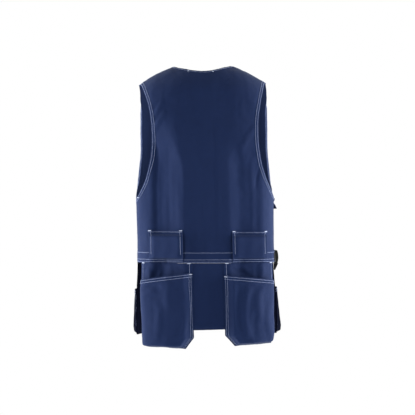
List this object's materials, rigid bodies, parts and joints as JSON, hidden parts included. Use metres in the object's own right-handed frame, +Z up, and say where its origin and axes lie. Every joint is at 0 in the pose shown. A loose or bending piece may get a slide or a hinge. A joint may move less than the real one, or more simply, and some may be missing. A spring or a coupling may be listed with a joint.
{
  "type": "utility work vest",
  "caption": "Sleeveless work vest in navy twill with wide belt loops, hanging holster pockets, a side strap with a buckle and contrast stitching.",
  "frame": {"origin": "where the vest sits on the shoulders, midway between them, on the line of the shoulder seams", "axes": "+Z up, +Y towards the wearer's back, +X to the wearer's left"},
  "size_m": [0.4494, 0.2962, 0.8286],
  "materials": {
    "navy_twill": "matt",
    "shaded_twill": "matt",
    "webbing": "matt",
    "black_plastic": "satin",
    "zip_tape": "satin"
  },
  "bodies": {
    "root": {"back_panel": "navy_twill", "front_panel_left": "navy_twill", "front_panel_right": "navy_twill", "waistband": "navy_twill", "back_tail": "navy_twill", "back_holster_base_left": "navy_twill", "back_holster_base_right": "navy_twill", "back_holster_pouch_left": "navy_twill", "back_holster_pouch_right": "navy_twill", "front_holster_base_left": "shaded_twill", "front_holster_base_right": "shaded_twill", "front_holster_pouch_left": "shaded_twill", "front_holster_pouch_right": "shaded_twill", "belt_loop_left": "navy_twill", "belt_loop_right": "navy_twill", "chest_pocket_right": "navy_twill", "chest_flap_right": "navy_twill", "front_zip": "zip_tape", "side_strap_right": "webbing", "side_buckle_right": "black_plastic", "side_strap_end_right": "webbing", "hanger_loop": "navy_twill"}
  },
  "joints": []
}
